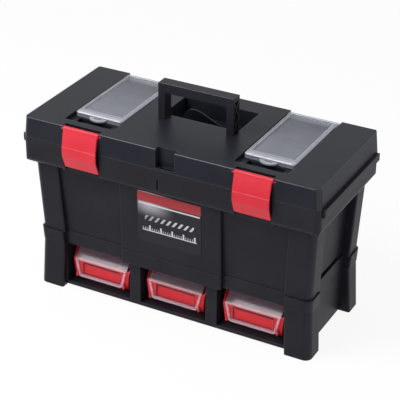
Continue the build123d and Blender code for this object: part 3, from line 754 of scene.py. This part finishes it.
@dataclass(frozen=True)
class DrawnSteel:
    """Bright drawn wire of the hinge pins."""

    name: str
    colour: Colour
    roughness: float = 0.3
    draw_rate: float = 9000.0
    draw_dull: float = 0.05
    blotch: float = 4.0 * MM
    blotch_share: float = 0.35
    blotch_tone: float = 0.55
    blotch_dull: float = 0.1

    def material(self) -> bpy.types.Material:
        """Make the material.

        Returns:
            The finished material.
        """
        graph = Graph.named(self.name)
        where = graph.place()
        _, y, z = graph.axes(where)
        lines = ((y + z) * self.draw_rate).wave()
        blotch = graph.noise(where, self.blotch)
        dark = tuple(channel * self.blotch_tone for channel in self.colour)
        tone = graph.blend(blotch * self.blotch_share, self.colour, dark)
        rough = self.roughness + lines * self.draw_dull + blotch * self.blotch_dull
        sockets = {"Base Color": tone, "Roughness": rough, "Metallic": 1.0}
        return graph.finish(graph.shader("ShaderNodeBsdfPrincipled", sockets))


class Finish(Enum):
    """Finishes of all pieces but the label, whose print takes its size from the frame."""

    SHELL = MouldedPlastic(
        "shell_black", (0.0120, 0.0115, 0.0150), (0.030, 0.029, 0.034), 0.44, 0.13, edge_coat=0.12
    )
    LID = MouldedPlastic(
        "lid_black",
        (0.0112, 0.0117, 0.0162),
        (0.030, 0.031, 0.038),
        0.40,
        0.13,
        (0.76, 0.80, 1.0),
        edge_coat=0.5,
    )
    HANDLE = MouldedPlastic(
        "handle_black",
        (0.0120, 0.0120, 0.0160),
        (0.032, 0.031, 0.038),
        0.42,
        0.16,
        (0.8, 0.82, 1.0),
        edge_coat=0.4,
    )
    TRAY = MouldedPlastic("tray_black", (0.020, 0.020, 0.022), (0.045, 0.044, 0.046), 0.46, 0.2)
    LATCH = MouldedPlastic(
        "latch_red", (0.57, 0.014, 0.026), (0.72, 0.06, 0.07), 0.30, 0.3, grain_depth=0.03 * MM
    )
    BIN = BinPlastic(
        "bin_red", (0.58, 0.012, 0.018), (0.68, 0.04, 0.045), 0.38, 0.25, grain_depth=0.03 * MM
    )
    COVER = CoverPlastic(
        "clear_cover", (0.28, 0.29, 0.345), (0.44, 0.45, 0.50), 0.2, body=0.36, rim=0.72
    )
    VISOR = VisorPlastic(
        "clear_visor", (0.38, 0.29, 0.34), (0.70, 0.54, 0.62), 0.18, body=0.012, rim=0.36
    )
    STEEL = DrawnSteel("pin_steel", (0.62, 0.62, 0.63))


class Dresser:
    """Puts finishes on the frame's own pieces."""

    def __init__(self, nodes: Mapping[str, bpy.types.Object]) -> None:
        """Keep the frame's pieces, and room for each finish that is made.

        Args:
            nodes: The frame's pieces by name.
        """
        self.nodes = nodes
        self.made: dict[str, bpy.types.Material] = {}

    def dress(self, finish: Dressing, names: Iterable[str]) -> None:
        """Give pieces a finish.

        Args:
            finish: The finish.
            names: Names of the pieces.
        """
        if finish.name not in self.made:
            self.made[finish.name] = finish.material()
        for name in names:
            piece = self.nodes[name]
            piece.data.materials.clear()
            piece.data.materials.append(self.made[finish.name])
            LOG.info("dressed %s in %s", name, finish.name)


@dataclass
class Box:
    """Rack, tub, lid, tray and hinges."""

    dresser: Dresser
    shell: Sequence[str] = ("base_rack", "tub")
    cover: Sequence[str] = ("lid", "organiser_divider_left", "organiser_divider_right")

    def build(self) -> None:
        """Dress the box and its label."""
        self.dresser.dress(Finish.SHELL.value, self.shell)
        self.dresser.dress(Finish.LID.value, self.cover)
        self.dresser.dress(Finish.TRAY.value, ["tray", "tray_handle"])
        self.dresser.dress(Finish.STEEL.value, ["hinge_pin_left", "hinge_pin_right"])
        low, high = (Vector(corner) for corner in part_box("label"))
        self.dresser.dress(LabelFilm("label_print", low, high), ["label"])


@dataclass
class Fittings:
    """Handle, latches, organiser covers, bins and visors."""

    dresser: Dresser
    ends: Sequence[str] = ("left", "right")
    bays: Sequence[str] = ("left", "centre", "right")

    def build(self) -> None:
        """Dress the handle, latches, organiser covers, bins and visors."""
        self.dresser.dress(Finish.HANDLE.value, ["handle"])
        self.dresser.dress(Finish.LATCH.value, [f"latch_{end}" for end in self.ends])
        self.dresser.dress(Finish.COVER.value, [f"organiser_lid_{end}" for end in self.ends])
        self.dresser.dress(Finish.BIN.value, [f"bin_{bay}" for bay in self.bays])
        self.dresser.dress(Finish.VISOR.value, [f"bin_visor_{bay}" for bay in self.bays])


@dataclass(frozen=True)
class Lamp:
    """A square soft lamp: where it hangs and its edge in metres, its power in watts."""

    name: str
    place: tuple[float, float, float]
    size: float
    power: float

    def hang(self, target: Vector) -> None:
        """Hang the lamp so that it looks at a point.

        Args:
            target: The point, in metres.
        """
        data = bpy.data.lights.new(self.name, "AREA")
        data.size = self.size
        data.energy = self.power
        lamp = bpy.data.objects.new(self.name, data)
        lamp.location = self.place
        aim = target - Vector(self.place)
        lamp.rotation_euler = aim.to_track_quat("-Z", "Y").to_euler()
        bpy.context.scene.collection.objects.link(lamp)


@dataclass
class Studio:
    """Floor, light and camera."""

    lens_pixels: float = 1453.0
    image_pixels: float = 400.0
    sensor: float = 36.0
    azimuth: float = 27.68
    elevation: float = 28.85
    roll: float = 0.68
    distance: float = 2.353
    target: Vector = Vector((-0.0036, 0.0095, 0.1674))
    floor_half: float = 12.0
    floor_tone: float = 0.93
    floor_white: float = 0.9
    floor_roughness: float = 0.9
    fleck: float = 0.4
    fleck_tone: float = 0.9
    fleck_share: float = 0.03
    sky: float = 0.55
    sky_tone: Colour = (0.95, 0.97, 1.0)
    lamps: Sequence[Lamp] = (
        Lamp("overhead", (-0.85, -1.0, 1.85), 0.9, 34.0),
        Lamp("fill", (-1.0, -2.2, 0.9), 1.6, 8.0),
        Lamp("end", (1.9, 0.3, 1.6), 0.9, 3.0),
    )

    def build(self) -> None:
        """Set the stage."""
        bpy.context.scene.view_settings.view_transform = "Standard"
        self.floor()
        self.world()
        for lamp in self.lamps:
            lamp.hang(self.target)
        self.camera()

    def floor(self) -> None:
        """Lay a plain pale floor."""
        half = self.floor_half
        mesh = bpy.data.meshes.new("floor")
        corners = [(-half, -half, 0), (half, -half, 0), (half, half, 0), (-half, half, 0)]
        mesh.from_pydata(corners, [], [(0, 1, 2, 3)])
        floor = bpy.data.objects.new("floor", mesh)
        bpy.context.scene.collection.objects.link(floor)
        graph = Graph.named("floor_paper")
        fleck = graph.noise(graph.place(), self.fleck, 2.0)
        tones = (self.floor_tone,) * 3, (self.fleck_tone,) * 3
        tone = graph.blend(fleck * self.fleck_share, *tones)
        sockets = {"Base Color": tone, "Roughness": self.floor_roughness}
        paper = graph.shader("ShaderNodeBsdfPrincipled", sockets)
        white = graph.shader("ShaderNodeEmission", {"Color": WHITE, "Strength": 1.0})
        seen = graph.rays("Camera", "Glossy", "Transmission")
        sockets = {0: seen * self.floor_white, 1: paper, 2: white}
        lit = graph.shader("ShaderNodeMixShader", sockets)
        mesh.materials.append(graph.finish(lit))

    def world(self) -> None:
        """White surroundings for the eye, gloss and clear plastic, softer for light."""
        world = bpy.data.worlds.new("surroundings")
        bpy.context.scene.world = world
        graph = Graph(world)
        sockets = {"Color": self.sky_tone, "Strength": self.sky}
        soft = graph.shader("ShaderNodeBackground", sockets)
        white = graph.shader("ShaderNodeBackground", {"Color": WHITE, "Strength": 1.0})
        seen = graph.rays("Camera", "Glossy", "Transmission")
        graph.finish(graph.shader("ShaderNodeMixShader", {0: seen, 1: soft, 2: white}))

    def camera(self) -> None:
        """Stand the camera where the picture was taken from."""
        turn = math.radians(self.azimuth)
        rise = math.radians(self.elevation)
        roll = math.radians(self.roll)
        right = Vector((math.cos(turn), math.sin(turn), 0.0))
        level = Vector((math.sin(turn), -math.cos(turn), 0.0))
        back = level * math.cos(rise) + Vector((0.0, 0.0, math.sin(rise)))
        up = back.cross(right)
        rolled_right = right * math.cos(roll) + up * math.sin(roll)
        rolled_up = up * math.cos(roll) - right * math.sin(roll)
        data = bpy.data.cameras.new("camera")
        data.sensor_width = self.sensor
        data.lens = self.sensor * self.lens_pixels / self.image_pixels
        camera = bpy.data.objects.new("camera", data)
        turned = Matrix((rolled_right, rolled_up, back)).transposed()
        stand = Matrix.Translation(self.target + back * self.distance)
        camera.matrix_world = stand @ turned.to_4x4()
        bpy.context.scene.collection.objects.link(camera)
        bpy.context.scene.camera = camera


def main() -> None:
    """Build every class in order."""
    logging.basicConfig(level=logging.INFO, format="%(message)s")
    dresser = Dresser(frame["nodes"])
    Box(dresser).build()
    Fittings(dresser).build()
    Studio().build()


if __name__ == "__main__":
    main()
